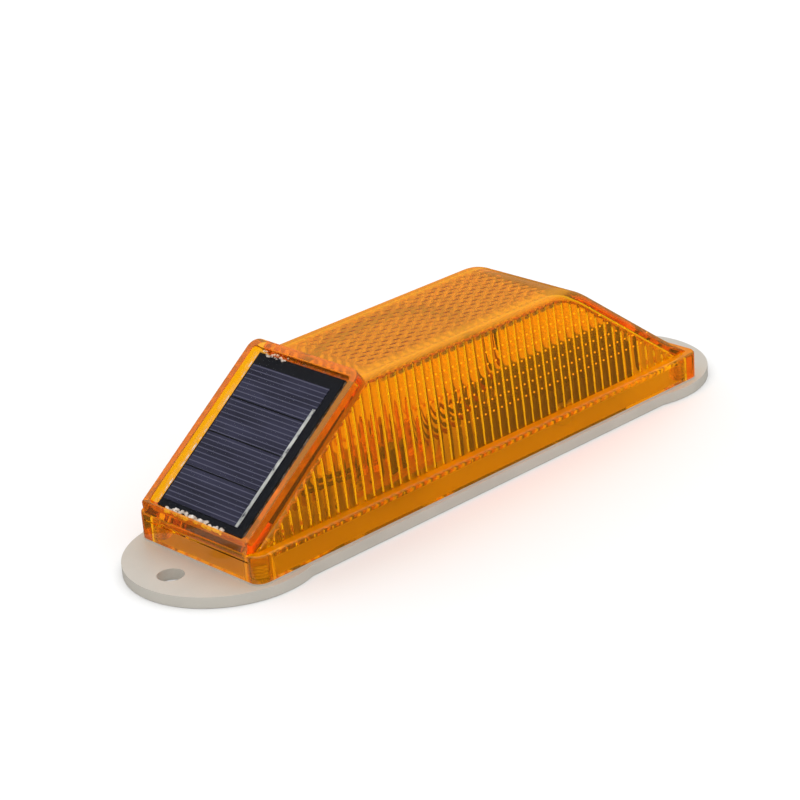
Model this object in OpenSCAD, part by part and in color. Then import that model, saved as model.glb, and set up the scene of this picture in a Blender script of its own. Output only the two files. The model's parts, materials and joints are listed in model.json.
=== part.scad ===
// Solar barricade warning light: amber lens on a white mounting plate, solar panel on one sloped end.
// The footprint's centre on the plate's underside is the origin. The solar end points to -X, and +Z is up.

/* [Plate] */
// Thickness of the mounting plate under the lens
plate_t = 3.2; // [3.1:0.1:3.6]
// Height of the raised seat that carries the lens
seat_h = 0.4; // [0.3:0.1:0.6]
// Width of the plate between its round ears
plate_w = 45.4; // [45:0.1:46.5]
// Length of the plate over both ears
plate_l = 188.2; // [186:0.2:190]
// Diameter of each ear
ear_d = 48; // [47:0.2:49]
// Distance between the two mounting holes
mount_spacing = 172; // [170:0.5:174]
// Diameter of each mounting hole
mount_d = 6.6; // [5.5:0.1:7]

/* [Lens] */
// Length of the lens at its skirt
skirt_l = 155.6; // [154:0.2:158]
// Width of the lens at its skirt
skirt_w = 44; // [43.6:0.1:44.6]
// Height of the skirt
skirt_h = 7; // [6.8:0.1:8]
// Corner radius of the skirt
skirt_r = 3; // [2.8:0.1:4.4]
// Height of the lens above its seat
lens_h = 36.5; // [36.2:0.1:40]
// Width of the lens body where it leaves the skirt
foot_w = 39.2; // [38.6:0.1:39.4]
// Width of the lens body at the top
top_w = 34; // [33.6:0.1:36]
// Ledge between the end slopes and the skirt's ends
end_ledge = 2.6; // [2.4:0.1:3]
// Angle of both end slopes
slope = 37; // [36.5:0.1:37.5]
// Wall thickness of the lens
wall = 2.2; // [1.8:0.1:2.4]

/* [Solar panel] */
// Length of the solar panel along the slope
panel_l = 44.8; // [44:0.1:45]
// Width of the solar panel
panel_w = 30.4; // [29:0.1:31]
// Number of cell strips on the panel
cell_count = 4; // [2:1:6]
// Length of the tray that holds the panel
tray_l = 51.9; // [51.6:0.1:52.4]
// Width of the tray
tray_w = 38.2; // [37:0.1:39]
// Height of the tray's rim above the slope
tray_h = 4.1; // [3.9:0.1:4.6]

/* [Circuit] */
// Length of the circuit board
board_l = 29; // [28:0.5:30]
// Width of the circuit board
board_w = 26; // [25.5:0.5:28]
// Diameter of each LED
led_d = 5; // [4.6:0.1:5.2]

/* [Battery] */
// Length of the cell without its raised cap
cell_l = 48.6; // [48:0.1:48.8]
// Diameter of the cell over its sleeve
cell_d = 14.3; // [13.8:0.1:14.4]

/* [Switch] */
// Travel of the switch lever
lever_travel = 3; // [2:0.1:3]
// Width of the switch lever's stem along its travel
stem_l = 2.8; // [2.4:0.1:3]

/* [Hidden] */
$fn = 48;
slip = 0.05;      // clearance between neighbouring pieces
over = 1;         // how far a cutter runs past what it cuts

// Heights
skirt_top = plate_t + skirt_h;
lens_top = plate_t + lens_h;

// Slope frame: its origin is the foot of the solar end's slope
foot_x = skirt_l / 2 - end_ledge;
slope_rise = lens_top - skirt_top;
top_x = foot_x - slope_rise / tan(slope);

// Corner bosses and their screws
boss_inset = 4.5;
boss_x = skirt_l / 2 - boss_inset;
boss_y = skirt_w / 2 - boss_inset;
boss_r = 2.85;
lens_screw_r = 1.45;
lens_bore_r = lens_screw_r + slip;
lens_hole_r = 1.6;
screw_head_r = 2.9;
screw_head_h = 1.7;
counterbore_r = 3.1;
counterbore_h = 1.9;

// Seal cord under the skirt
seal_w = 1.2;
seal_h = 0.7;

// Tray and panel, as heights above the slope
tray_start = -3.3;
tray_floor = 1;
tray_side_wall = 2;
tray_low_wall = 3.7;
tray_high_wall = 2.4;
tray_corner_r = 3;
pocket_r = 1;
cut_l = 10;        // length of the block that trims the tray flush with the skirt's end
pad_t = 0.75;
pad_l = 30;
pad_w = 27;
pad_start = 11;
panel_t = 1.1;
cell_t = 0.2;
cell_gap = 0.4;
cell_margin_low = 2;
cell_margin_high = 3.4;
cell_margin_wide = 2.6;     // bare board beside the ribbon
cell_margin_narrow = 0.7;   // bare board along the opposite edge
ribbon_t = 0.05;
ribbon_w = 1;
ribbon_l = 33.3;
laminate_t = 0.2;
panel_gap = 0.35;
panel_start = tray_start + tray_low_wall + panel_gap;
panel_z = tray_floor + pad_t;
cell_z = panel_z + panel_t;
ribbon_z = cell_z + cell_t;
laminate_z = ribbon_z + ribbon_t;
wire_hole_r = 2;
wire_hole_x = 43;
wire_hole_y = 6;

// Circuit board
board_x = -26.5;
board_t = 1.2;
board_z = plate_t + 6;
board_top = board_z + board_t;
post_r = 2.5;
post_dx = board_l / 2 - 2.5;
post_dy = board_w / 2 - 2.5;
led_dx = 6.5;
led_dy = 6.5;
led_lift = 1.2;
led_h = 8.6;
led_flange_r = led_d / 2 + 0.4;
led_pitch = 2.54;
led_leg_w = 0.5;
led_flange_t = 1;
small_screw_r = 1.1;
small_head_r = 2;
small_head_h = 1.3;
small_screw_l = 4.5;

// Battery holder
holder_x0 = 3;
holder_x1 = 61.2;
holder_wall = 1.5;
holder_w = 17.6;
holder_h = 12;
holder_ear_y = 12.2;
holder_ear_r = 3.2;
holder_pad_h = 2.5;
holder_ear_t = 2;
holder_mid = (holder_x0 + holder_x1) / 2;
contact_t = 0.3;
contact_size = 10;
sleeve_t = 0.15;
cap_r = 2.75;
cap_l = 1.4;
cell_end = holder_x1 - holder_wall - contact_t - 2 * slip;
cell_start = cell_end - cap_l - cell_l;
cell_axis_z = plate_t + holder_wall + cell_d / 2 + slip;

// Slide switch
switch_x = -56;
can_l = 12.7;
can_w = 6.6;
can_h = 5;
can_wall = 0.4;
ear_l = 21;
ear_t = 0.5;
switch_screw_dx = 8.5;
switch_screw_r = 0.95;
switch_screw_l = 2.2;
switch_head_r = 1.8;
switch_head_h = 1.1;
switch_hole_z = 1;      // floor of the blind holes for the switch's screws
lever_rest = -lever_travel / 2;
stem_w = 2.4;
window_gap = 0.5;
window_l = stem_l + lever_travel + window_gap;
window_w = stem_w + window_gap;
recess_l = 14;
recess_w = 9;
recess_h = 1.4;
slider_l = 6.4;
slider_w = 5.2;
slider_h = 1.8;
base_board_t = 1;
terminal_pitch = 3;
terminal_w = 1.2;
terminal_t = 0.4;
terminal_h = 3;
terminal_head_l = 1.8;
terminal_head_w = 2;
terminal_head_t = 0.2;
stem_recess = 0.6;      // how far the lever stops short of the plate's underside

wire_r = 0.65;

// Shared shapes and functions

module rounded_rect(l, w, r) {
    square([l, w - 2 * r], center = true);
    square([l - 2 * r, w], center = true);
    for (x = [-1, 1], y = [-1, 1]) {
        translate([x * (l / 2 - r), y * (w / 2 - r)]) circle(r);
    }
}

module block(l, w, h) {
    translate([-l / 2, -w / 2, 0]) cube([l, w, h]);
}

module on_slope() {
    translate([-foot_x, 0, skirt_top]) rotate([0, -slope, 0]) children();
}

module pan_screw(head_r, head_h, shaft_r, shaft_l) {
    cylinder(h = head_h, r = head_r);
    translate([0, 0, -shaft_l]) cylinder(h = shaft_l + head_h / 2, r = shaft_r);
}

module at_corners(dx, dy) {
    for (x = [-1, 1], y = [-1, 1]) {
        translate([x * dx, y * dy, 0]) children();
    }
}

function unit(v) = v / norm(v);

// One point between p1 and p2 of a smooth curve through all four points
function curve_point(p0, p1, p2, p3, t) =
    0.5 * (2 * p1 + (p2 - p0) * t + (2 * p0 - 5 * p1 + 4 * p2 - p3) * t * t
        + (3 * p1 - p0 - 3 * p2 + p3) * t * t * t);

function smooth_path(p, steps) = [
    for (i = [0 : len(p) - 2])
        for (k = [0 : steps - 1])
            curve_point(p[max(i - 1, 0)], p[i], p[i + 1], p[min(i + 2, len(p) - 1)], k / steps),
    p[len(p) - 1]
];

function tangents(p) = [for (i = [0 : len(p) - 1]) unit(p[min(i + 1, len(p) - 1)] - p[max(i - 1, 0)])];

// Each ring's sideways direction, carried along the path without twist
function side_dirs(t, n, i = 0) =
    i == len(t) ? [] : let (m = unit(n - (n * t[i]) * t[i])) concat([m], side_dirs(t, m, i + 1));

module tube(path, r, side, sides = 8) {
    t = tangents(path);
    n = side_dirs(t, side);
    last = len(path) - 1;
    points = [
        for (i = [0 : last])
            for (k = [0 : sides - 1])
                let (a = 360 * k / sides)
                path[i] + r * (cos(a) * n[i] + sin(a) * cross(t[i], n[i]))
    ];
    skin = [
        for (i = [0 : last - 1])
            for (k = [0 : sides - 1])
                let (m = (k + 1) % sides)
                [i * sides + k, (i + 1) * sides + k, (i + 1) * sides + m, i * sides + m]
    ];
    start_cap = [for (k = [0 : sides - 1]) k];
    end_cap = [for (k = [sides - 1 : -1 : 0]) last * sides + k];
    polyhedron(points, concat(skin, [start_cap, end_cap]), convexity = 8);
}

// Plate and seal

module plate_body() {
    block(plate_l - ear_d, plate_w, plate_t - seat_h);
    for (x = [-1, 1]) {
        translate([x * (plate_l - ear_d) / 2, 0, 0]) cylinder(h = plate_t - seat_h, d = ear_d, $fn = 144);
    }
    linear_extrude(plate_t) rounded_rect(skirt_l, skirt_w, skirt_r);
}

module base_plate() {
    color("ivory") difference() {
        union() {
            plate_body();
            translate([board_x, 0, plate_t]) at_corners(post_dx, post_dy) {
                cylinder(h = board_z - plate_t, r = post_r);
            }
            for (y = [-1, 1]) {
                translate([holder_mid, y * holder_ear_y, plate_t]) {
                    cylinder(h = holder_pad_h, r = holder_ear_r);
                }
            }
        }
        for (x = [-1, 1]) {
            translate([x * mount_spacing / 2, 0, -over]) cylinder(h = plate_t + 2 * over, d = mount_d);
        }
        at_corners(boss_x, boss_y) {
            translate([0, 0, -over]) cylinder(h = plate_t + 2 * over, r = lens_hole_r);
            translate([0, 0, -over]) cylinder(h = counterbore_h + over, r = counterbore_r);
        }
        translate([0, 0, plate_t - seal_h]) seal_shape(seal_h + over, seal_w + 2 * slip);
        for (s = [-1, 1]) {
            translate([board_x + s * post_dx, s * post_dy, board_z - small_screw_l]) {
                cylinder(h = small_screw_l + over, r = small_screw_r + slip);
            }
            translate([holder_mid, s * holder_ear_y, plate_t + holder_pad_h - small_screw_l + holder_ear_t]) {
                cylinder(h = small_screw_l + over, r = small_screw_r + slip);
            }
            translate([switch_x + s * switch_screw_dx, 0, switch_hole_z]) {
                cylinder(h = plate_t, r = switch_screw_r + slip);
            }
        }
        translate([switch_x, 0, -over]) block(recess_l, recess_w, recess_h + over);
        translate([switch_x, 0, 0]) block(window_l, window_w, plate_t + over);
    }
}

module seal_shape(h, w) {
    mid_l = skirt_l - wall;
    mid_w = skirt_w - wall;
    mid_r = skirt_r - wall / 2;
    linear_extrude(h) difference() {
        rounded_rect(mid_l + w, mid_w + w, mid_r + w / 2);
        rounded_rect(mid_l - w, mid_w - w, mid_r - w / 2);
    }
}

module seal_ring() {
    color("gainsboro") translate([0, 0, plate_t - seal_h + slip / 2]) seal_shape(seal_h - slip / 2, seal_w);
}

// Lens

// A body with sloped ends and drafted sides; inset moves every face inwards
module lens_body(inset, bottom) {
    end_inset = inset / sin(slope);
    top = lens_top - inset;
    drop = skirt_top - bottom;
    draft = (foot_w - top_w) / 2 / slope_rise;
    low_x = foot_x - end_inset + drop / tan(slope);
    high_x = low_x - (top - bottom) / tan(slope);
    low_y = foot_w / 2 - inset + drop * draft;
    high_y = low_y - (top - bottom) * draft;
    intersection() {
        translate([0, skirt_w / 2, 0]) rotate([90, 0, 0]) linear_extrude(skirt_w) {
            polygon([[-low_x, bottom], [low_x, bottom], [high_x, top], [-high_x, top]]);
        }
        translate([-skirt_l / 2, 0, 0]) rotate([90, 0, 90]) linear_extrude(skirt_l) {
            polygon([[-low_y, bottom], [low_y, bottom], [high_y, top], [-high_y, top]]);
        }
    }
}

module lens_cover() {
    color("orange", 0.6) difference() {
        union() {
            difference() {
                union() {
                    translate([0, 0, plate_t]) linear_extrude(skirt_h) rounded_rect(skirt_l, skirt_w, skirt_r);
                    lens_body(0, skirt_top - over);
                }
                translate([0, 0, plate_t - over]) linear_extrude(skirt_h - wall + over) {
                    rounded_rect(skirt_l - 2 * wall, skirt_w - 2 * wall, skirt_r - wall);
                }
                lens_body(wall, skirt_top - wall - over / 2);
            }
            translate([0, 0, plate_t]) at_corners(boss_x, boss_y) {
                cylinder(h = skirt_h - wall / 2, r = boss_r);
            }
        }
        at_corners(boss_x, boss_y) {
            translate([0, 0, plate_t - over]) cylinder(h = skirt_h - wall + over, r = lens_bore_r);
        }
        on_slope() translate([wire_hole_x, wire_hole_y, -2 * wall]) cylinder(h = 3 * wall, r = wire_hole_r);
    }
}

module lens_screws() {
    color("silver") at_corners(boss_x, boss_y) {
        translate([0, 0, counterbore_h]) mirror([0, 0, 1]) {
            pan_screw(screw_head_r, screw_head_h, lens_screw_r, skirt_h - wall);
        }
    }
}

// Tray and solar panel

module tray_block(margin_low, margin_high, margin_side, h, r) {
    l = tray_l - margin_low - margin_high;
    w = tray_w - 2 * margin_side;
    translate([tray_start + margin_low + l / 2, 0, 0]) linear_extrude(h) rounded_rect(l, w, r);
}

module solar_tray() {
    color("darkorange", 0.7) difference() {
        on_slope() difference() {
            translate([0, 0, slip]) tray_block(0, 0, 0, tray_h - slip, tray_corner_r);
            translate([0, 0, tray_floor]) {
                tray_block(tray_low_wall, tray_high_wall, tray_side_wall, tray_h, pocket_r);
            }
            translate([wire_hole_x, wire_hole_y, -over]) cylinder(h = 2 * over + tray_floor, r = wire_hole_r);
        }
        translate([-foot_x, 0, 0]) block(4 * tray_h, 2 * tray_w, skirt_top + slip);
        translate([-(skirt_l + cut_l) / 2, 0, 0]) block(cut_l, 2 * tray_w, 2 * lens_top);
    }
}

module panel_pad() {
    color("black") on_slope() translate([pad_start + pad_l / 2, 0, tray_floor]) block(pad_l, pad_w, pad_t);
}

module panel_sheet(h) {
    translate([panel_start + panel_l / 2, 0, 0]) block(panel_l, panel_w, h);
}

module panel_board() {
    color("black") on_slope() translate([0, 0, panel_z]) panel_sheet(panel_t);
}

cells_start = panel_start + cell_margin_low;
cells_l = panel_l - cell_margin_low - cell_margin_high;
cells_w = panel_w - cell_margin_wide - cell_margin_narrow;
cells_side = cell_margin_wide - panel_w / 2;
strip_l = (cells_l - (cell_count - 1) * cell_gap) / cell_count;

module solar_cells() {
    color("midnightblue") on_slope() for (i = [0 : cell_count - 1]) {
        translate([cells_start + i * (strip_l + cell_gap), cells_side, cell_z]) cube([strip_l, cells_w, cell_t]);
    }
}

module cell_ribbon() {
    color("silver") on_slope() translate([cells_start, cells_side, ribbon_z]) cube([ribbon_l, ribbon_w, ribbon_t]);
}

module panel_laminate() {
    color("lightblue", 0.2) on_slope() translate([0, 0, laminate_z]) panel_sheet(laminate_t);
}

module silicone_bead() {
    bead_h = panel_z + panel_t - tray_floor - slip;
    color("whitesmoke") on_slope() difference() {
        translate([0, 0, tray_floor]) {
            tray_block(tray_low_wall + slip, tray_high_wall + slip, tray_side_wall + slip, bead_h, pocket_r);
        }
        translate([panel_start + panel_l / 2, 0, tray_floor - over]) {
            block(panel_l + 2 * slip, panel_w + 2 * slip, bead_h + 2 * over);
        }
    }
}

// A point of the panel wires' shared route, given in the slope frame
function slope_point(x, y, z) = [
    -foot_x + x * cos(slope) - z * sin(slope), y, skirt_top + x * sin(slope) + z * cos(slope)
];

// Highest line of the wires' middles, clear of the lens top and its inner pattern
under_top = lens_top - wall - 1.6;
pad_top = board_top + wire_r + slip;
wire_side = 0.85;
panel_wire_steps = 5;

// Both panel wires leave the hole under the panel, lie against the lens top and drop to the board
function panel_route(side) = [
    slope_point(wire_hole_x, wire_hole_y + side, panel_z - 0.1),
    slope_point(wire_hole_x, wire_hole_y + side, -2),
    slope_point(wire_hole_x + 1, wire_hole_y + side, -4.6),
    [-29, 9 + side, under_top - 0.5],
    [-20, 11.6 + side, under_top],
    [-8, 12.6 + side, under_top],
    [3, 11.6 + side, under_top],
    [10 + side, 6.5 + side, under_top - 0.6],
    [13 + side, -1, under_top - 4],
    [10 + side, -6 - side, under_top - 11],
    [2, -7.5 - 2 * side, 19],
    [-5, -6 - 2 * side, 14.5],
    [board_x + board_l / 2 - 3, -4 - 2 * side, pad_top]
];

module panel_wire_red() {
    color("red") tube(smooth_path(panel_route(wire_side), panel_wire_steps), wire_r, [0, 1, 0]);
}

module panel_wire_black() {
    color("black") tube(smooth_path(panel_route(-wire_side), panel_wire_steps), wire_r, [0, 1, 0]);
}

// Circuit board and its components

module circuit_board() {
    color("peru") difference() {
        translate([board_x, 0, board_z]) block(board_l, board_w, board_t);
        for (s = [-1, 1]) {
            translate([board_x + s * post_dx, s * post_dy, board_z - over]) {
                cylinder(h = board_t + 2 * over, r = small_screw_r + 2 * slip);
            }
        }
    }
}

module board_screws() {
    color("silver") for (s = [-1, 1]) {
        translate([board_x + s * post_dx, s * post_dy, board_top]) {
            pan_screw(small_head_r, small_head_h, small_screw_r, small_screw_l);
        }
    }
}

module at_leds() {
    translate([board_x, 0, board_top]) at_corners(led_dx, led_dy) children();
}

module leds() {
    dome_z = led_h - led_d / 2;
    color("orange", 0.8) at_leds() translate([0, 0, led_lift]) {
        cylinder(h = led_flange_t, r = led_flange_r);
        cylinder(h = dome_z, d = led_d);
        translate([0, 0, dome_z]) difference() {
            sphere(d = led_d);
            translate([0, 0, -led_d]) block(2 * led_d, 2 * led_d, led_d);
        }
    }
}

module led_legs() {
    color("silver") at_leds() for (x = [-1, 1]) {
        translate([x * led_pitch / 2, 0, 0]) block(led_leg_w, led_leg_w, led_lift);
    }
}

chip_l = 4.9;
chip_w = 3.9;
chip_lift = 0.15;
chip_h = 1.45;
chip_pitch = 1.27;
leg_reach = 1;
leg_z = 0.7;
leg_t = 0.2;
leg_w = 0.4;

module controller_chip() {
    color("black") translate([board_x, 0, board_top + chip_lift]) block(chip_l, chip_w, chip_h);
}

module chip_legs() {
    color("silver") translate([board_x, 0, board_top]) {
        for (side = [-1, 1], i = [-1.5 : 1 : 1.5]) {
            translate([i * chip_pitch, side * (chip_w / 2 + leg_reach / 2), 0]) {
                translate([0, side * leg_reach / 4, 0]) block(leg_w, leg_reach / 2, leg_t);
                translate([0, side * leg_reach / 8, 0]) block(leg_w, leg_t, leg_z + leg_t);
                translate([0, -side * leg_reach / 8, leg_z]) block(leg_w, 3 * leg_reach / 4, leg_t);
            }
        }
    }
}

// Distance of the two tall components from the board's middle line
tall_part_y = led_dy + 2.8;

module inductor() {
    drum_r = 2.6;
    neck_r = 2.1;
    flange_t = 0.9;
    winding_h = 3.4;
    color("sienna") translate([board_x, tall_part_y, board_top]) {
        cylinder(h = flange_t, r = drum_r);
        cylinder(h = winding_h + 2 * flange_t, r = neck_r);
        translate([0, 0, winding_h + flange_t]) cylinder(h = flange_t, r = drum_r);
    }
}

module capacitor() {
    can_r = 2.5;
    can_height = 6;
    crimp_z = 1.1;
    crimp_h = 0.5;
    crimp_depth = 0.25;
    color("navy") translate([board_x, -tall_part_y, board_top]) difference() {
        cylinder(h = can_height, r = can_r);
        translate([0, 0, crimp_z]) difference() {
            cylinder(h = crimp_h, r = can_r + over);
            cylinder(h = crimp_h, r = can_r - crimp_depth);
        }
    }
}

// A small axial component with a lead at each end, lying along Y
module axial(r, l) {
    lead_r = 0.25;
    lead_l = 1.5;
    lift = 0.1;
    translate([0, 0, r + lift]) rotate([90, 0, 0]) {
        cylinder(h = l, r = r, center = true);
        cylinder(h = l + 2 * lead_l, r = lead_r, center = true);
    }
}

// Positions along the board of the parts that lie across it
resistor_places = [-5.5, 7.5, 10];
diode_place = -9.5;

module resistors() {
    color("tan") for (x = resistor_places) {
        translate([board_x + x, 0, board_top]) axial(0.8, 3.2);
    }
}

module charge_diode() {
    color("black") translate([board_x + diode_place, 0, board_top]) axial(1, 3.8);
}

// Battery

module along_cell() {
    translate([0, 0, cell_axis_z]) rotate([0, 90, 0]) children();
}

module battery_holder() {
    ear_z = plate_t + holder_pad_h;
    finger_l = 20;
    finger_depth = 4;
    color("dimgray") difference() {
        union() {
            translate([holder_mid, 0, plate_t]) block(holder_x1 - holder_x0, holder_w, holder_h);
            translate([holder_mid, 0, ear_z]) block(2 * holder_ear_r, 2 * holder_ear_y, holder_ear_t);
            for (y = [-1, 1]) {
                translate([holder_mid, y * holder_ear_y, ear_z]) cylinder(h = holder_ear_t, r = holder_ear_r);
            }
        }
        translate([holder_mid, 0, plate_t + holder_wall]) {
            block(holder_x1 - holder_x0 - 2 * holder_wall, holder_w - 2 * holder_wall, holder_h);
        }
        for (y = [-1, 1]) {
            translate([holder_mid, y * holder_ear_y, ear_z - over]) {
                cylinder(h = holder_ear_t + 2 * over, r = small_screw_r + 2 * slip);
            }
            // Finger cut-outs that let the cell be lifted
            translate([holder_mid, y * holder_w / 2, plate_t + holder_h - finger_depth]) {
                block(finger_l, 2 * holder_wall + over, holder_h);
            }
        }
    }
}

module holder_screws() {
    color("silver") for (y = [-1, 1]) {
        translate([holder_mid, y * holder_ear_y, plate_t + holder_pad_h + holder_ear_t]) {
            pan_screw(small_head_r, small_head_h, small_screw_r, small_screw_l - slip);
        }
    }
}

module battery_can() {
    color("silver") along_cell() translate([0, 0, cell_start]) {
        cylinder(h = cell_l, d = cell_d - 2 * sleeve_t - slip);
        cylinder(h = cell_l + cap_l, r = cap_r);
    }
}

module battery_sleeve() {
    lap = 0.4;
    color("darkgreen") along_cell() translate([0, 0, cell_start + lap]) difference() {
        cylinder(h = cell_l - 2 * lap, d = cell_d);
        translate([0, 0, -over]) cylinder(h = cell_l + over, d = cell_d - 2 * sleeve_t);
    }
}

contact_tab_w = 2.4;
contact_tab_h = 1.6;
tab_top = cell_axis_z + contact_size / 2 + contact_tab_h;

module contact_sheet() {
    translate([0, 0, cell_axis_z - contact_size / 2]) block(contact_t, contact_size, contact_size);
    translate([0, 0, cell_axis_z]) block(contact_t, contact_tab_w, tab_top - cell_axis_z);
}

spring_plate_x = holder_x0 + holder_wall + contact_t / 2 + slip;
contact_plate_x = holder_x1 - holder_wall - contact_t / 2 - slip;

module spring_plate() {
    color("silver") translate([spring_plate_x, 0, 0]) contact_sheet();
}

module contact_plate() {
    color("silver") translate([contact_plate_x, 0, 0]) contact_sheet();
}

spring_wire_r = 0.35;
spring_from = spring_plate_x + contact_t / 2 + spring_wire_r + slip;
spring_to = cell_start - spring_wire_r - slip;
spring_turns = 4;
spring_wide_r = 4.3;
spring_narrow_r = 2.4;

// A conical coil with a flat first and last turn
function spring_point(f) =
    let (a = 360 * spring_turns * f,
        r = spring_wide_r + (spring_narrow_r - spring_wide_r) * f,
        rise = min(1, max(0, (f * spring_turns - 1) / (spring_turns - 2))))
    [spring_from + (spring_to - spring_from) * rise, r * cos(a), cell_axis_z + r * sin(a)];

module contact_spring() {
    steps = 24 * spring_turns;
    path = [for (i = [0 : steps]) spring_point(i / steps)];
    color("silver") tube(path, spring_wire_r, [1, 0, 0], 6);
}

board_edge_x = board_x + board_l / 2 - 2.4;
rail_z = plate_t + 5;
over_screw_z = plate_t + 9;

module battery_wire_red() {
    rail_y = holder_w / 2 + wire_r + 0.4;
    path = [
        [contact_plate_x + contact_t / 2 + wire_r + slip, 0.4, tab_top - 1.6],
        [holder_x1 + 0.6, 1.8, tab_top - 2.7],
        [holder_x1 + 1.4, 4.2, tab_top - 5],
        [holder_x1 + 1.5, rail_y - 0.9, rail_z + 2.5],
        [holder_x1 - 1.5, rail_y + 0.6, rail_z + 0.5],
        [holder_x1 - 8, rail_y, rail_z],
        [holder_mid + 12, rail_y, rail_z],
        [holder_mid + 5, rail_y + 0.2, over_screw_z],
        [holder_mid - 5, rail_y + 0.2, over_screw_z],
        [holder_mid - 14, rail_y, rail_z],
        [6, rail_y, rail_z],
        [-3, rail_y - 2, board_top + 3],
        [board_edge_x, 6, pad_top]
    ];
    color("red") tube(smooth_path(path, 4), wire_r, [0, 0, 1]);
}

module battery_wire_black() {
    path = [
        [holder_x0 - wire_r - 0.4, 0, tab_top - 2],
        [holder_x0 - 1.2, 0.5, tab_top - 4],
        [-2, 2.5, board_top + 3],
        [board_edge_x, 3.2, pad_top]
    ];
    color("black") tube(smooth_path(path, 6), wire_r, [0, 1, 0]);
}

// Slide switch, mounted upside down so that its lever reaches through the plate

module at_switch() {
    translate([switch_x, 0, plate_t]) children();
}

module switch_frame() {
    color("silver") at_switch() difference() {
        union() {
            block(ear_l, can_w, ear_t);
            block(can_l, can_w, can_h);
        }
        translate([0, 0, ear_t]) block(can_l - 2 * can_wall, can_w - 2 * can_wall, can_h);
        translate([0, 0, -over]) block(window_l, window_w, 2 * over + ear_t);
        for (x = [-1, 1]) {
            translate([x * switch_screw_dx, 0, -over]) cylinder(h = 2 * over + ear_t, r = switch_screw_r + slip);
        }
    }
}

module at_terminals() {
    for (i = [-1 : 1]) {
        translate([i * terminal_pitch, 0, 0]) children();
    }
}

module switch_base() {
    color("saddlebrown") at_switch() translate([0, 0, can_h - base_board_t]) difference() {
        block(can_l - 2 * can_wall - 2 * slip, can_w - 2 * can_wall - 2 * slip, base_board_t);
        at_terminals() translate([0, 0, -over]) {
            block(terminal_w + slip, terminal_t + slip, base_board_t + 2 * over);
        }
    }
}

module switch_terminals() {
    color("gold") at_switch() at_terminals() translate([0, 0, can_h - base_board_t - terminal_head_t]) {
        block(terminal_head_l, terminal_head_w, terminal_head_t);
        block(terminal_w, terminal_t, terminal_head_t + base_board_t + terminal_h);
    }
}

module switch_screws() {
    color("silver") at_switch() for (x = [-1, 1]) {
        translate([x * switch_screw_dx, 0, ear_t]) {
            pan_screw(switch_head_r, switch_head_h, switch_screw_r, switch_screw_l);
        }
    }
}

module switch_lever() {
    stem_bottom = stem_recess - plate_t;
    color("black") at_switch() translate([lever_rest, 0, 0]) {
        translate([0, 0, ear_t + slip]) block(slider_l, slider_w, slider_h);
        translate([0, 0, stem_bottom]) block(stem_l, stem_w, -stem_bottom + ear_t + slider_h / 2);
    }
}

module switch_wiper() {
    strip_t = 0.2;
    strip_w = 1.6;
    gap_top = can_h - base_board_t - terminal_head_t - slip;
    low = ear_t + slip + slider_h;
    half = terminal_pitch / 2;
    color("gold") at_switch() translate([lever_rest, 0, low]) {
        block(2 * half + strip_w, strip_w, strip_t);
        for (x = [-1, 1]) {
            translate([x * half, 0, 0]) block(strip_t, strip_w, gap_top - low);
            translate([x * half, 0, gap_top - low - strip_t]) block(strip_w, strip_w, strip_t);
        }
    }
}

module switch_wires() {
    tip = plate_t + can_h + terminal_h - 1.2;
    color("black") for (i = [0, 1]) {
        x = switch_x + i * terminal_pitch;
        y = terminal_t / 2 + wire_r + slip;
        lane = -7 + 3.5 * i;
        path = [
            [x, -y, tip],
            [x + 0.6, lane / 2, tip + 2],
            [x + 5, lane, tip + 3],
            [board_x - board_l / 2 + 1, lane, pad_top + 1.2],
            [board_x - board_l / 2 + 3, lane, pad_top]
        ];
        tube(smooth_path(path, 5), wire_r, [0, 1, 0]);
    }
}

base_plate();
seal_ring();
lens_cover();
lens_screws();
solar_tray();
panel_pad();
panel_board();
solar_cells();
cell_ribbon();
panel_laminate();
silicone_bead();
panel_wire_red();
panel_wire_black();
circuit_board();
board_screws();
leds();
led_legs();
controller_chip();
chip_legs();
inductor();
capacitor();
resistors();
charge_diode();
battery_holder();
holder_screws();
battery_can();
battery_sleeve();
spring_plate();
contact_spring();
contact_plate();
battery_wire_red();
battery_wire_black();
switch_frame();
switch_base();
switch_terminals();
switch_screws();
switch_lever();
switch_wiper();
switch_wires();
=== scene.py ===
"""Looks for the solar barricade warning light: finer meshes where the CAD is plain, materials and a stage."""

import json
import math
import random

import bmesh
import bpy
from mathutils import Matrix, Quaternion, Vector


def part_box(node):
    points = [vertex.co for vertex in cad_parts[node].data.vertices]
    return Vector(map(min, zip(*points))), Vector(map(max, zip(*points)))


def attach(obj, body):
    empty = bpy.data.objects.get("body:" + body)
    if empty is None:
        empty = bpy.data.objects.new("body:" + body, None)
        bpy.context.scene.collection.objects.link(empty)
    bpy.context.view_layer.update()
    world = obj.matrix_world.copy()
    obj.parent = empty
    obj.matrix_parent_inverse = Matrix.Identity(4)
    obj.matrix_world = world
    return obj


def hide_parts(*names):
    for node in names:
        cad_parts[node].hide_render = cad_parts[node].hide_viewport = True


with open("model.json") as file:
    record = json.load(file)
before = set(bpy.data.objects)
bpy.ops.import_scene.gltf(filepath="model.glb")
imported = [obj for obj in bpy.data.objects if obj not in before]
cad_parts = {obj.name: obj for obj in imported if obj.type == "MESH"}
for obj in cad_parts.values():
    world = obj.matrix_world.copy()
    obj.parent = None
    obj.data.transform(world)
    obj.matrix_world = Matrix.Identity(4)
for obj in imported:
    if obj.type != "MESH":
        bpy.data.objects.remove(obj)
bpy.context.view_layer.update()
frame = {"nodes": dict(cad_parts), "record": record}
NODES = frame["nodes"]
BODY = "light"
SLIDER = "switch_slider"
SLOTS = {part["node"]: part["material_slot"] for part in frame["record"]["subparts"]}

# All sizes below are in millimetres, in the CAD frame
MM = 0.001


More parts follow.
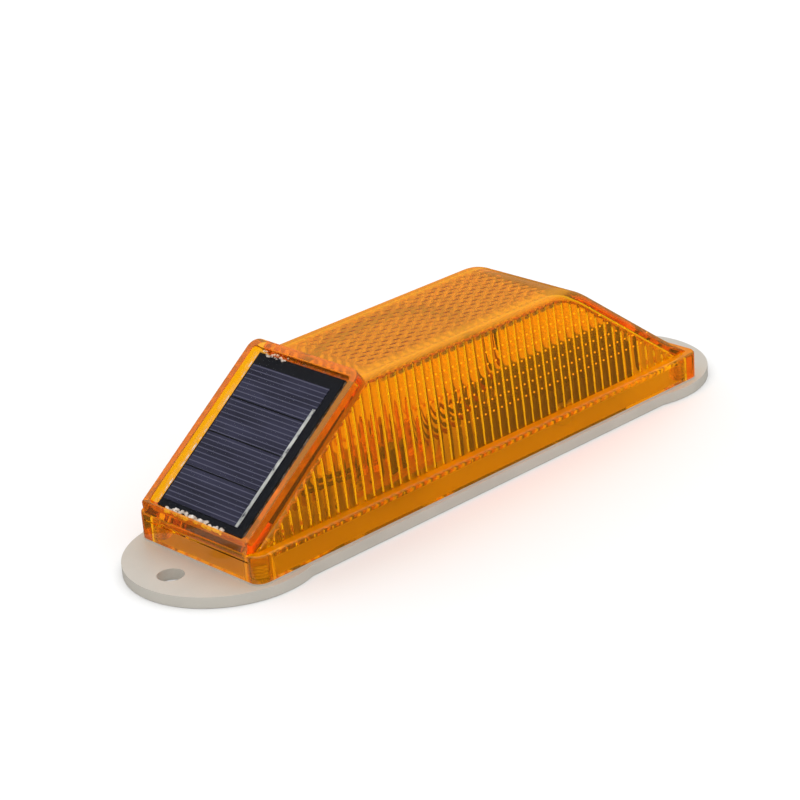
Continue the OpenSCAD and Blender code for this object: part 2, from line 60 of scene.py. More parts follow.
def box_mm(node):
    low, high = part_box(node)
    return low / MM, high / MM


# Lens. Its box comes from the CAD lens, and the other sizes are the CAD's own
LENS_LOW, LENS_HIGH = box_mm("lens_cover")
PLATE_TOP = LENS_LOW.z
LENS_TOP = LENS_HIGH.z
SKIRT_HALF_L = LENS_HIGH.x
SKIRT_HALF_W = LENS_HIGH.y
SKIRT_TOP = PLATE_TOP + 7.0
SKIRT_R = 3.0
SKIRT_EDGE_R = 0.7
WALL = 2.2
ROOF_WALL = 1.7        # the roof is a little thinner than the walls
FOOT_X = SKIRT_HALF_L - 2.6
FOOT_HALF_W = 19.6
TOP_HALF_W = 17.0
DRAFT = (FOOT_HALF_W - TOP_HALF_W) / (LENS_TOP - SKIRT_TOP)
SLOPE = math.radians(37)
TOP_X = FOOT_X - (LENS_TOP - SKIRT_TOP) / math.tan(SLOPE)
SOLAR_BEND = 0.8       # how far the flat roof blends into the solar end's slope
FAR_BEND = 4.5         # the same for the far end's slope
EDGE_R = 2.2           # rounded edge between roof and walls
INNER_EDGE_R = 0.7
CEILING = SKIRT_TOP - WALL
SEAT_GAP = 0.02        # lens above plate, so that the two faces never coincide
RIB_PITCH = 2.9
RIB_H = 1.05           # how far a rib stands in from the wall
RIB_STEPS = 10         # cross-sections of the inner skin for each rib
OUTER_STEP = 0.75      # between the cross-sections of the outer skin
RIB_END = 0.8          # height of each rib's rounded upper end
RIB_FOOT = 1.6         # height over which a rib grows out of the ledge
SPARK_ROW = 3.05       # height between the rows of painted glints on the ribs
SPARK_PLACE = 0.72     # where a painted glint stands in its rib, as a share of the pitch
SPARK_R = 0.24
SPARK_LEAN = 1.2       # the painted glints start at a line that leans over by this much
SPARK_START = SPARK_LEAN * LENS_TOP - 38
SPARK_FADE = 10
PIP_ROW = RIB_PITCH * math.sqrt(3) / 2
PIP_R = 0.95
PIP_H = 0.35
PIP_MARGIN = 4.2       # plain border of the roof round the pips
PIP_TILT = math.radians(-15)
PIP_SHADE_L = 1.2      # half length and half width of the painted shade over each pip
PIP_SHADE_W = 0.38
SCALLOP_L = 1.25       # half length and half height of the painted shade at the end of a rib
SCALLOP_H = 0.65
SKIRT_HAZE = 0.07      # the haze that the skirt has on top of the rest
BOSS_X = SKIRT_HALF_L - 4.5
BOSS_Y = SKIRT_HALF_W - 4.5
BOSS_R = 2.85
BOSS_CLEAR = 0.15      # between a boss and the body's inner skin
BORE_R = 1.52
BORE_TOP = SKIRT_TOP - 1.4
UP = (0, 0, 1)
ALONG = (1, 0, 0)
ACROSS = (0, 1, 0)

# Tray and panel, in the slope frame: along the slope, across, above the slope
TRAY_L = 51.9
TRAY_W = 38.2
TRAY_H = 4.1
TRAY_START = -3.3
TRAY_GAP = 0.05
TRAY_FLOOR = 1.0
TRAY_SIDE = 2.0
TRAY_LOW = 3.7
TRAY_HIGH = 2.4
TRAY_R = 3.0
POCKET_R = 1.0
RIM_R = 0.45
PANEL_START = 0.75
PANEL_L = 44.8
PANEL_W = 30.4
PANEL_FACE = 3.3
FILL_TOP = 2.75
FILL_GAP = 0.04        # between the sealant and what it touches
FILL_DIP = 0.25        # how far its surface sinks in places
BONDED_FACE = 0.12     # how near the lens's skin is to the slope or the ledge where the tray covers it
BONDED_LEDGE = 0.08
UNDERSIDE = TRAY_GAP + 0.03

# Screws, as shares of the head's radius or height, or of the shaft's radius
CROSS_REACH = 0.62
CROSS_ARM = 0.13
CROSS_DEPTH = 0.55
FACE_REACH = 0.86
FACE_DOME = 0.22
FACE_STEPS = 12
THREAD_DEPTH = 0.14
SCREWS = {
    "lens_screws": dict(head_r=2.9, head_h=1.7, shaft_r=1.45, pitch=0.8, toward=1, four=True),
    "board_screws": dict(head_r=2.0, head_h=1.3, shaft_r=1.1, pitch=0.6),
    "holder_screws": dict(head_r=2.0, head_h=1.3, shaft_r=1.1, pitch=0.6),
    "switch_screws": dict(head_r=1.8, head_h=1.1, shaft_r=0.95, pitch=0.5),
}

# Switch lever
LEVER_SLIDER_H = 1.8
LEVER_STEM_L = 2.8
LEVER_STEM_W = 2.4
LEVER_RIDGE = 0.7      # between the ridges
LEVER_RIDGE_H = 0.3
LEVER_EDGE = 0.12

# Stage
FLOOR_HALF = 4000
FLOOR_LEVEL = -0.1
SKY_HIGH = 1.8         # the sky's brightness overhead
SKY_SIDE = 1.1         # near the horizon
SKY_MIRRORED = 0.5     # near the horizon as reflections show it
SKY_BLEND = (0.3, 0.9)  # heights of the sky between which the brightness changes
CAMERA_AZIMUTH = math.radians(-42.27)
CAMERA_ELEVATION = math.radians(22.61)
CAMERA_ROLL = math.radians(-4.6)
CAMERA_AIM = Vector((-1.98, 8.98, 15.56))
CAMERA_DISTANCE = 635.2
CAMERA_LENS = 113.16   # focal length for a sensor 36 mm wide
SENSOR_W = 36

random.seed(7)


# Small helpers


def tone(red, green, blue, alpha=1.0):
    """A display colour from 0 to 255 as the linear colour that a shader takes."""
    def linear(value):
        share = value / 255
        return share / 12.92 if share <= 0.04045 else ((share + 0.055) / 1.055) ** 2.4
    return (linear(red), linear(green), linear(blue), alpha)


def on_slope(along, across, above):
    """A point of the slope frame, whose origin is the foot of the solar end's slope."""
    return Vector((
        -FOOT_X + along * math.cos(SLOPE) - above * math.sin(SLOPE),
        across,
        SKIRT_TOP + along * math.sin(SLOPE) + above * math.cos(SLOPE),
    ))


def smooth_min(a, b, reach):
    overlap = max(reach - abs(a - b), 0) / reach
    return min(a, b) - overlap * overlap * reach / 4


def rounded_rect(x0, x1, half_w, r, steps=8):
    """Points round a rectangle with rounded corners, anticlockwise from the +X side."""
    points = []
    for quarter, (cx, cy) in enumerate(
        [(x1 - r, half_w - r), (x0 + r, half_w - r), (x0 + r, r - half_w), (x1 - r, r - half_w)]
    ):
        for i in range(steps + 1):
            angle = math.pi / 2 * (quarter + i / steps)
            points.append((cx + r * math.cos(angle), cy + r * math.sin(angle)))
    return points


def add_ring(bm, points):
    return [bm.verts.new(point) for point in points]


def join_rings(bm, low, high, closed=True):
    """Quads between two rows of the same number of vertices."""
    count = len(low)
    faces = []
    for i in range(count if closed else count - 1):
        k = (i + 1) % count
        faces.append(bm.faces.new((low[i], low[k], high[k], high[i])))
    return faces


def make_piece(name, bm, material, replaced=(), body=BODY, sharp=40):
    """Turns millimetre geometry into an object that rides on a body."""
    bmesh.ops.recalc_face_normals(bm, faces=bm.faces)
    bmesh.ops.scale(bm, vec=(MM, MM, MM), verts=bm.verts)
    mesh = bpy.data.meshes.new(name)
    bm.to_mesh(mesh)
    bm.free()
    mesh.set_sharp_from_angle(angle=math.radians(sharp))
    mesh.materials.append(material)
    piece = bpy.data.objects.new(name, mesh)
    bpy.context.scene.collection.objects.link(piece)
    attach(piece, body)
    if replaced:
        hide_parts(*replaced)
    return piece


def fill_level(bm, z):
    """Closes the open loops that lie at height z with flat triangles."""
    edges = [
        e for e in bm.edges
        if e.is_boundary and all(abs(v.co.z - z) < 1e-3 for v in e.verts)
    ]
    made = bmesh.ops.triangle_fill(bm, use_beauty=True, edges=edges, normal=UP)
    for item in made["geom"]:
        if isinstance(item, bmesh.types.BMFace):
            item.smooth = False


# Materials


class Look:
    """One material's node tree. Each method adds a node and gives back the socket to use."""

    def __init__(self, name):
        self.material = bpy.data.materials.new(name)
        self.material.use_nodes = True
        self.tree = self.material.node_tree
        self.tree.nodes.clear()
        self.place = self.add("TexCoord").outputs["Object"]

    def add(self, kind, inputs=None, **settings):
        node = self.tree.nodes.new("ShaderNode" + kind)
        for name, value in settings.items():
            setattr(node, name, value)
        for name, value in (inputs or {}).items():
            socket = node.inputs[name]
            if isinstance(value, bpy.types.NodeSocket):
                self.tree.links.new(value, socket)
            else:
                socket.default_value = value
        return node

    def math(self, operation, a, b=0.0):
        return self.add("Math", {0: a, 1: b}, operation=operation).outputs[0]

    def times(self, first, *others):
        for other in others:
            first = self.math("MULTIPLY", first, other)
        return first

    def mix(self, share, first, second):
        """A shader that is second by the given share, and first by the rest."""
        return self.add("MixShader", {0: share, 1: first, 2: second}).outputs[0]

    def shader(self, kind, colour=(1, 1, 1, 1), **inputs):
        return self.add("Bsdf" + kind, {"Color": colour, **inputs}).outputs[0]

    def lighting_rays(self):
        """Rays that carry light to other pieces, as against those that the camera sees by."""
        rays = self.add("LightPath").outputs
        return self.math("MAXIMUM", rays["Is Shadow Ray"], rays["Is Diffuse Ray"])

    def noise(self, size_mm, detail=3.0, stretch=(1, 1, 1)):
        """Noise whose features are about size_mm across."""
        spot = self.add("Mapping", {"Vector": self.place, "Scale": stretch}).outputs[0]
        scale = 1 / (size_mm * MM)
        return self.add("TexNoise", {"Vector": spot, "Scale": scale, "Detail": detail}).outputs[0]

    def span(self, value, low, high, to_low, to_high):
        inputs = {"Value": value, "From Min": low, "From Max": high, "To Min": to_low, "To Max": to_high}
        return self.add("MapRange", inputs).outputs[0]

    def ramp(self, value, *stops):
        node = self.add("ValToRGB", {"Fac": value})
        elements = node.color_ramp.elements
        while len(elements) < len(stops):
            elements.new(0.5)
        for element, (position, colour) in zip(elements, stops):
            element.position = position
            element.color = colour
        return node.outputs[0]

    def bump(self, height, strength, depth_mm):
        inputs = {"Height": height, "Strength": strength, "Distance": depth_mm * MM}
        return self.add("Bump", inputs).outputs[0]

    def along(self, direction):
        """How far a point lies along a direction, in millimetres."""
        scaled = Vector(direction) / MM
        return self.add("VectorMath", {0: self.place, 1: scaled}, operation="DOT_PRODUCT").outputs["Value"]

    def principled(self, **inputs):
        named = {name.replace("_", " "): value for name, value in inputs.items()}
        return self.add("BsdfPrincipled", named).outputs[0]

    def finish(self, surface, volume=None):
        inputs = {"Surface": surface}
        if volume is not None:
            inputs["Volume"] = volume
        self.add("OutputMaterial", inputs)
        return self.material


def moulded(
    name, colour, roughness=0.45, grain=0.25, grain_depth=0.02, metal=0.0, shift=0.12, coat=0.0, shine=0.5,
):
    """Moulded, painted or plated finish: the tone drifts a little, and fine grain breaks up the gloss."""
    look = Look(name)
    drift = look.noise(9, 4)
    darker = tuple(c * (1 - shift) for c in colour[:3]) + (1,)
    lighter = tuple(min(1, c * (1 + shift)) for c in colour[:3]) + (1,)
    fine = look.noise(grain, 2)
    return look.finish(look.principled(
        Base_Color=look.ramp(drift, (0.3, darker), (0.7, lighter)),
        Roughness=look.span(fine, 0.3, 0.7, roughness * 0.85, min(1, roughness * 1.15)),
        Metallic=metal,
        Coat_Weight=coat,
        Specular_IOR_Level=shine,
        Normal=look.bump(fine, 0.3, grain_depth),
    ))


def haze_share(look, sideways, upwards):
    """Share of haze on the outside, for faces that look sideways and upwards. The skirt has a little more."""
    skin = look.add("NewGeometry").outputs
    outside = look.math("SUBTRACT", 1.0, skin["Backfacing"])
    tilt = look.add("VectorMath", {0: skin["Normal"], 1: UP}, operation="DOT_PRODUCT").outputs["Value"]
    skirt = look.span(look.along(UP), SKIRT_TOP - 0.6, SKIRT_TOP, SKIRT_HAZE, 0.0)
    return look.times(outside, look.math("ADD", look.span(tilt, 0.15, 0.9, sideways, upwards), skirt))


def amber(name, tint, absorbed, density, glow, haze_shares, roughness, waviness, joined, marks=None):
    """Clear plastic dyed through, so that thick places look deeper, with a little haze on its outside.

    Light still reaches what is inside. Where the tray is bonded to the lens, light passes straight on.
    """
    look = Look(name)
    bumps = look.bump(look.noise(3.5, 2), waviness, 0.05)
    solid = look.principled(
        Base_Color=tint,
        Roughness=look.span(look.noise(1.2, 2), 0.3, 0.7, roughness * 0.7, roughness * 1.3),
        IOR=1.49,
        Transmission_Weight=1.0,
        Specular_IOR_Level=0.35,
        Normal=bumps,
    )
    dimmer = tuple(c * 0.9 for c in glow[:3]) + (1,)
    hazy = look.ramp(look.noise(6, 3), (0.3, dimmer), (0.7, glow))
    through = look.shader("Translucent", hazy, Normal=bumps)
    back = look.shader("Diffuse", hazy, Normal=bumps)
    haze = look.mix(0.75, through, back)
    dyed = look.mix(haze_share(look, *haze_shares), solid, haze)
    if marks:
        dyed = marks(look, dyed)
    passed = tuple(math.sqrt(c) for c in tint[:3]) + (1,)
    surface = look.mix(look.lighting_rays(), dyed, look.shader("Transparent", passed))
    surface = look.mix(joined(look), surface, look.shader("Transparent"))
    volume = look.add("VolumeAbsorption", {"Color": absorbed, "Density": density}).outputs[0]
    return look.finish(surface, volume)


def above_slope(look):
    """How far a point stands off the solar end's slope, in millimetres."""
    outward = (-math.sin(SLOPE), 0, math.cos(SLOPE))
    return look.math("SUBTRACT", look.along(outward), FOOT_X * math.sin(SLOPE) + SKIRT_TOP * math.cos(SLOPE))


def near(look, value, place, reach):
    return look.math("LESS_THAN", look.math("ABSOLUTE", look.math("SUBTRACT", value, place)), reach)


def nearest(look, value, pitch, shift=0.0):
    """Signed distance from a value to the nearest multiple of pitch, which shift moves by a share of it."""
    moved = look.math("SUBTRACT", look.math("DIVIDE", value, pitch), shift)
    return look.times(look.math("SUBTRACT", moved, look.math("ROUND", moved)), pitch)


def spot(look, first, half_first, second, half_second):
    """Squared distance from the middle of an oval spot, which is 1 on the spot's outline."""
    squares = [
        look.math("POWER", look.math("DIVIDE", value, half), 2.0)
        for value, half in ((first, half_first), (second, half_second))
    ]
    return look.math("ADD", *squares)


def pip_painted_shade(look):
    """Painted shade on the roof over the far side of each pip under it, which turns the light away."""
    x, y = look.along(ALONG), look.along(ACROSS)
    half_row = look.math("DIVIDE", look.math("ROUND", look.math("DIVIDE", x, PIP_ROW)), 2)
    odd = look.math("ABSOLUTE", look.math("SUBTRACT", half_row, look.math("ROUND", half_row)))
    dx, dy = nearest(look, x, PIP_ROW), nearest(look, y, RIB_PITCH, odd)
    turn_x, turn_y = math.cos(PIP_TILT), math.sin(PIP_TILT)
    long_way = look.math("ADD", look.times(dx, turn_x), look.times(dy, turn_y))
    short_way = look.math("SUBTRACT", look.times(dy, turn_x), look.times(dx, turn_y))
    inside = look.span(spot(look, long_way, PIP_SHADE_L, short_way, PIP_SHADE_W), 0.5, 1.0, 1.0, 0.0)
    roof = look.math("GREATER_THAN", look.along(UP), LENS_TOP - 0.3)
    fade_x = look.span(look.math("ABSOLUTE", x), TOP_X - 7, TOP_X - 3.5, 1.0, 0.0)
    fade_y = look.span(look.math("ABSOLUTE", y), TOP_HALF_W - 6.5, TOP_HALF_W - 3.5, 1.0, 0.0)
    patchy = look.span(look.noise(14, 2), 0.3, 0.7, 0.45, 0.95)
    return look.times(inside, roof, fade_x, fade_y, patchy)


def roof_edges(look):
    """Marks the brighter band along the roof's long edges, where the walls below throw light up."""
    beside = look.math("ABSOLUTE", look.along(ACROSS))
    band = look.span(beside, TOP_HALF_W - 5.5, TOP_HALF_W - 2.5, 0.0, 0.22)
    return look.times(band, look.span(look.along(UP), LENS_TOP - 1.6, LENS_TOP - 0.8, 0.0, 1.0))


def rib_end_shade(look):
    """Painted shade: the dark scallop that each rib's rounded end shows just under the roof's edge."""
    x = look.along(ALONG)
    below = look.math("SUBTRACT", LENS_TOP - EDGE_R - 0.2, look.along(UP))
    scallop = spot(look, nearest(look, x, RIB_PITCH, 0.5), SCALLOP_L, below, SCALLOP_H)
    inside = look.span(scallop, 0.3, 1.1, 0.7, 0.0)
    wall = look.math("GREATER_THAN", look.math("ABSOLUTE", look.along(ACROSS)), TOP_HALF_W - 0.4)
    fade = look.span(look.math("ABSOLUTE", x), TOP_X - 8, TOP_X - 1, 1.0, 0.0)
    return look.times(inside, wall, fade)


def painted_rib_glints(look):
    """Painted glints: warm spots in rows on the ribs of both long sides, away from the solar end."""
    x, height = look.along(ALONG), look.along(UP)
    beside = look.math("SUBTRACT", look.math("FRACT", look.math("DIVIDE", x, RIB_PITCH)), SPARK_PLACE)
    row = look.math("SUBTRACT", look.math("FRACT", look.math("DIVIDE", height, SPARK_ROW)), 0.5)
    dot = look.math("LESS_THAN", spot(look, beside, SPARK_R / RIB_PITCH, row, SPARK_R / SPARK_ROW), 1.0)
    inner = look.add("NewGeometry").outputs["Backfacing"]
    wall = look.math("GREATER_THAN", look.math("ABSOLUTE", look.along(ACROSS)), TOP_HALF_W - WALL - 1.2)
    under = look.math("LESS_THAN", height, LENS_TOP - 5.5)
    over = look.math("GREATER_THAN", height, SKIRT_TOP + 5)
    slant = look.math("ADD", x, look.times(height, SPARK_LEAN))
    shown = look.span(slant, SPARK_START, SPARK_START + SPARK_FADE, 0.0, 0.95)
    return look.times(dot, inner, wall, under, over, shown)


def lens_marks(look, surface):
    """Paints in what the lens's small relief does to the light: glints on the ribs, shade over the pips and
    at the ribs' ends, and a brighter band along the roof's edges.
    """
    # warm colour of the painted glints on the ribs
    warm = (1.0, 0.8, 0.4, 1)
    lit = [look.shader(kind, warm) for kind in ("Diffuse", "Translucent")]
    glint = look.add("AddShader", {0: lit[0], 1: lit[1]}).outputs[0]
    marked = look.mix(painted_rib_glints(look), surface, glint)
    # painted shade over the pips
    marked = look.mix(pip_painted_shade(look), marked, look.shader("Diffuse", (0.22, 0.06, 0.02, 1)))
    # painted highlight along the roof's long edges
    marked = look.mix(roof_edges(look), marked, look.shader("Diffuse", (1.0, 0.45, 0.02, 1)))
    # painted shade at the ribs' rounded ends
    return look.mix(rib_end_shade(look), marked, look.shader("Diffuse", tone(96, 74, 34)))


def lens_joint(look):
    """Marks the lens's outer skin under the tray."""
    x = look.along(ALONG)
    on_face = near(look, above_slope(look), 0, BONDED_FACE)
    on_ledge = near(look, look.along(UP), SKIRT_TOP, BONDED_LEDGE)
    low_end = look.math("LESS_THAN", x, 0.3 - FOOT_X)
    covered = look.math("MAXIMUM", on_face, look.times(on_ledge, low_end))
    up_slope = look.math("LESS_THAN", x, (TRAY_START + TRAY_L) * math.cos(SLOPE) - FOOT_X)
    return look.times(covered, up_slope, near(look, look.along(ACROSS), 0, TRAY_W / 2))


def tray_joint(look):
    """Marks the tray's underside."""
    on_face = look.math("LESS_THAN", above_slope(look), UNDERSIDE)
    on_ledge = look.math("LESS_THAN", look.along(UP), SKIRT_TOP + UNDERSIDE)
    return look.math("MAXIMUM", on_face, on_ledge)


FINGER_PITCH = 1.27    # between the collector lines
FINGER_SHARE = 0.2     # how much of that a line takes up


def solar_cell_look():
    """Blue-grey silicon with fine light collector lines across the panel."""
    look = Look("solar_cell")
    along = look.along((math.cos(SLOPE), 0, math.sin(SLOPE)))
    phase = look.math("FRACT", look.math("DIVIDE", along, FINGER_PITCH))
    line = near(look, phase, 0.5, FINGER_SHARE / 2)
    streak = look.noise(3.0, 4, stretch=(1, 0.15, 1))
    silicon = look.ramp(streak, (0.3, tone(36, 36, 50)), (0.7, tone(52, 52, 70)))
    mixed = look.add("MixRGB", {"Fac": look.times(line, 0.75), 1: silicon, 2: tone(88, 88, 106)})
    return look.finish(look.principled(
        Base_Color=mixed.outputs[0],
        Roughness=look.span(streak, 0.3, 0.7, 0.35, 0.5),
        Specular_IOR_Level=0.05,
    ))


def ribbon_look():
    """Tin ribbon whose solder coat is dull and scraped in places."""
    look = Look("cell_ribbon")
    scraped = look.noise(2.2, 5, stretch=(1, 2, 1))
    shades = ((0.36, tone(70, 70, 76)), (0.44, tone(168, 170, 168)), (0.7, tone(205, 206, 200)))
    return look.finish(look.principled(
        Base_Color=look.ramp(scraped, *shades),
        Metallic=0.4,
        Roughness=look.span(scraped, 0.3, 0.7, 0.7, 0.45),
        Normal=look.bump(scraped, 0.5, 0.05),
    ))


def clear_resin_look():
    """Clear skin with a weak sheen that dust dulls in places."""
    look = Look("clear_resin")
    dust = look.noise(4, 5)
    gloss = look.principled(
        Base_Color=look.ramp(dust, (0.3, (0.0, 0.0, 0.0, 1)), (0.7, (0.02, 0.02, 0.02, 1))),
        Roughness=look.span(dust, 0.35, 0.65, 0.04, 0.16),
        Metallic=0.0,
        IOR=1.4,
    )
    sheen = look.add("Fresnel", {"IOR": 1.12}).outputs[0]
    share = look.math("MAXIMUM", look.lighting_rays(), look.math("SUBTRACT", 1.0, sheen))
    return look.finish(look.mix(share, gloss, look.shader("Transparent")))


def silicone_look(name, least, most):
    """Sealant: part of the light passes and a share from least to most scatters."""
    look = Look(name)
    cloud = look.noise(1.5, 4)
    milk = look.principled(
        Base_Color=look.ramp(cloud, (0.3, tone(225, 205, 190)), (0.7, tone(250, 246, 240))),
        Roughness=0.35,
        Normal=look.bump(look.noise(0.7, 3), 0.5, 0.1),
    )
    share = look.span(cloud, 0.35, 0.65, least, most)
    return look.finish(look.mix(share, look.shader("Transparent"), milk))


def led_look():
    """Amber epoxy that lets the light from outside through to its neighbours."""
    look = Look("led_epoxy")
    cloud = look.noise(1.5, 3)
    epoxy = look.principled(
        Base_Color=look.ramp(cloud, (0.3, tone(255, 170, 60)), (0.7, tone(255, 205, 110))),
        Roughness=0.08,
        IOR=1.5,
        Transmission_Weight=0.85,
    )
    clear = look.shader("Transparent", tone(255, 215, 150))
    return look.finish(look.mix(look.lighting_rays(), epoxy, clear))


def striped(name, base, band, direction, pitch_mm, share, roughness):
    """Bands that repeat along one direction, such as windings or a resistor's colour bands."""
    look = Look(name)
    phase = look.math("FRACT", look.math("DIVIDE", look.along(direction), pitch_mm))
    on_band = look.math("LESS_THAN", phase, share)
    drift = look.noise(2, 3)
    ground = look.ramp(drift, (0.3, tuple(c * 0.85 for c in base[:3]) + (1,)), (0.7, base))
    mixed = look.add("MixRGB", {"Fac": on_band, 1: ground, 2: band})
    return look.finish(look.principled(
        Base_Color=mixed.outputs[0],
        Roughness=roughness,
        Normal=look.bump(on_band, 0.4, 0.03),
    ))


def floor_look():
    """Pale paper. It looks darker in reflections, so that the object's faces keep their own colour."""
    look = Look("floor")
    drift = look.noise(160, 2)
    pale = look.ramp(drift, (0.3, (0.86, 0.86, 0.86, 1)), (0.7, (0.88, 0.88, 0.88, 1)))
    rays = look.add("LightPath").outputs
    mirrored = look.math("SUBTRACT", rays["Is Glossy Ray"], rays["Is Transmission Ray"])
    shade = look.add("MixRGB", {"Fac": mirrored, 1: pale, 2: (0.1, 0.09, 0.08, 1)}).outputs[0]
    return look.finish(look.principled(Base_Color=shade, Roughness=0.9, Specular_IOR_Level=0.1))


LOOKS = {
    "plate_plastic": moulded("plate_plastic", tone(189, 184, 174), 0.42, 0.5, 0.015, shift=0.03),
    "amber_lens": amber(
        "amber_lens", tint=(1.0, 0.64, 0.02, 1), absorbed=(0.999, 0.94, 0.3, 1), density=700,
        glow=(1.0, 0.39, 0.0, 1), haze_shares=(0.15, 0.46), roughness=0.04, waviness=0.06,
        joined=lens_joint, marks=lens_marks,
    ),
    "amber_tray": amber(
        "amber_tray", tint=(1.0, 0.58, 0.02, 1), absorbed=(0.998, 0.9, 0.3, 1), density=800,
        glow=(1.0, 0.34, 0.01, 1), haze_shares=(0.14, 0.38), roughness=0.05, waviness=0.1,
        joined=tray_joint,
    ),
    "seal_rubber": moulded("seal_rubber", tone(205, 200, 190), 0.6),
    "foam": moulded("foam", tone(30, 28, 28), 0.95, 0.4, 0.2),
    "panel_black": moulded("panel_black", tone(18, 20, 26), 0.5, 0.3, 0.01, shine=0.08),
    "solar_cell": solar_cell_look(),
    "clear_resin": clear_resin_look(),
    "silicone": silicone_look("silicone", 0.15, 0.7),
    "screw_steel": moulded("screw_steel", tone(190, 190, 192), 0.32, 0.4, 0.01, metal=1.0),
    "plated_steel": moulded("plated_steel", tone(205, 204, 200), 0.25, 0.8, 0.01, metal=1.0),
    "tinned_copper": moulded("tinned_copper", tone(226, 224, 216), 0.3, 0.5, 0.03, metal=1.0),
    "contact_brass": moulded("contact_brass", tone(214, 180, 100), 0.3, 0.5, 0.01, metal=1.0),
    "board_phenolic": moulded("board_phenolic", tone(176, 128, 70), 0.5, 0.3, 0.01),
    "led_epoxy": led_look(),
    "component_black": moulded("component_black", tone(34, 33, 33), 0.5),
    "copper_winding": striped("copper_winding", tone(150, 78, 34), tone(84, 40, 20), UP, 0.32, 0.4, 0.35),
    "capacitor_sleeve": moulded("capacitor_sleeve", tone(36, 50, 110), 0.25, coat=0.4),
    "resistor_body": striped("resistor_body", tone(206, 174, 122), tone(120, 40, 30), ACROSS, 0.9, 0.35, 0.4),
    "holder_plastic": moulded("holder_plastic", tone(44, 42, 42), 0.5),
    "battery_green": moulded("battery_green", tone(38, 46, 30), 0.3, 2.0, 0.02, coat=0.3),
    "wire_red": moulded("wire_red", tone(120, 22, 18), 0.35),
    "wire_black": moulded("wire_black", tone(30, 30, 30), 0.35),
}


# Lens


def roof_height(x, inset):
    """Height of the roof at x: flat in the middle, sloping at both ends."""
    sloped = SKIRT_TOP + (FOOT_X - abs(x)) * math.tan(SLOPE) - inset / math.cos(SLOPE)
    flat = LENS_TOP - min(inset, ROOF_WALL)
    return smooth_min(flat, sloped, SOLAR_BEND if x < 0 else FAR_BEND)


def half_width(x, z, inset):
    """Half width of the body; the inner skin also keeps clear of the corner bosses."""
    width = FOOT_HALF_W - (z - SKIRT_TOP) * DRAFT - inset
    past = abs(x) - BOSS_X
    reach = BOSS_R + BOSS_CLEAR
    if inset and abs(past) < reach:
        return min(width, BOSS_Y - math.sqrt(reach * reach - past * past))
    return width


def even_rows(_straight):
    """Shares of a plain wall's height. They hold for any height of wall."""
    return [0, 0.3, 0.6, 0.9, 1]


def rib_rows(straight):
    """Shares of a ribbed wall's height: wide steps, then fine ones where the ribs end in domes."""
    dome = min(RIB_END + 0.4, straight / 2) / max(straight, 1e-6)
    foot = min(RIB_FOOT, straight / 5) / max(straight, 1e-6)
    wide = [foot + (1 - dome - foot) * i / 5 for i in range(5)]
    return [0] + wide + [1 - dome * (1 - i / 7) for i in range(8)]


def no_relief(*_place):
    return 0.0


def rib_relief(x, z, wall_top):
    """How far a rib stands in from the wall: round across, with a domed upper end."""
    across = (x / RIB_PITCH) % 1 * 2 - 1
    over = max(0, z - (wall_top - RIB_END)) / RIB_END
    fade = min(1, max(0, (wall_top - CEILING) / RIB_PITCH))
    fade *= min(1, (z - CEILING) / RIB_FOOT)
    return fade * RIB_H * max(0, 1 - across * across - over * over)


def pip_relief(x, y):
    """How far a pip stands down from the roof, on a hexagonal pattern."""
    best = 0.0
    row = round(x / PIP_ROW)
    for i in (row - 1, row, row + 1):
        shift = (i % 2) / 2
        j = round(y / RIB_PITCH - shift)
        cx, cy = i * PIP_ROW, (j + shift) * RIB_PITCH
        if abs(cx) > TOP_X - PIP_MARGIN or abs(cy) > TOP_HALF_W - PIP_MARGIN:
            continue
        distance = math.hypot(x - cx, y - cy) / PIP_R
        best = max(best, PIP_H * max(0, 1 - distance * distance))
    return best


def arch(x, inset, bottom, edge_r, rows, edge_steps, roof_steps, wall_relief, roof_relief):
    """One cross-section of the lens body, from one foot over the roof to the other."""
    top = roof_height(x, inset)
    rise = max(top - bottom, 0)
    r = min(edge_r, rise * 0.45)
    half = []
    for share in rows(rise - r):
        z = bottom + (rise - r) * share
        half.append((half_width(x, z, inset) - wall_relief(x, z, top - r), z))
    for i in range(1, edge_steps + 1):
        angle = math.pi / 2 * i / edge_steps
        z = top - r + r * math.sin(angle)
        half.append((half_width(x, z, inset) - r + r * math.cos(angle), z))
    roof_half = half[-1][0]
    middle = []
    for i in range(1, roof_steps):
        y = roof_half * (2 * i / roof_steps - 1)
        middle.append((x, y, top - roof_relief(x, y)))
    return [(x, -y, z) for y, z in half] + middle + [(x, y, z) for y, z in reversed(half)]


def add_body(bm, inset, bottom, step, **shape):
    """A skin of cross-sections from one end of the body to the other."""
    end_x = FOOT_X + (SKIRT_TOP - bottom - inset / math.cos(SLOPE)) / math.tan(SLOPE)
    count = int(end_x / step)
    stations = [-end_x] + [i * step for i in range(-count, count + 1)] + [end_x]
    previous = None
    for x in stations:
        ring = add_ring(bm, arch(x, inset, bottom, **shape))
        if previous:
            join_rings(bm, previous, ring, closed=False)
        previous = ring


def skirt_inner_loop(steps=10):
    """The skirt's inner outline, which bulges in round each corner boss."""
    half_w = SKIRT_HALF_W - WALL
    reach = math.acos((half_w - BOSS_Y) / BOSS_R)
    sweep = 2 * reach - 1.5 * math.pi
    points = []
    for quarter, (sx, sy) in enumerate([(1, 1), (-1, 1), (-1, -1), (1, -1)]):
        angles = [sweep * i / steps - reach for i in range(steps + 1)]
        corner = [
            (sx * (BOSS_X + BOSS_R * math.cos(angle)), sy * (BOSS_Y + BOSS_R * math.sin(angle)))
            for angle in angles
        ]
        points += corner if quarter % 2 == 0 else corner[::-1]
    return points


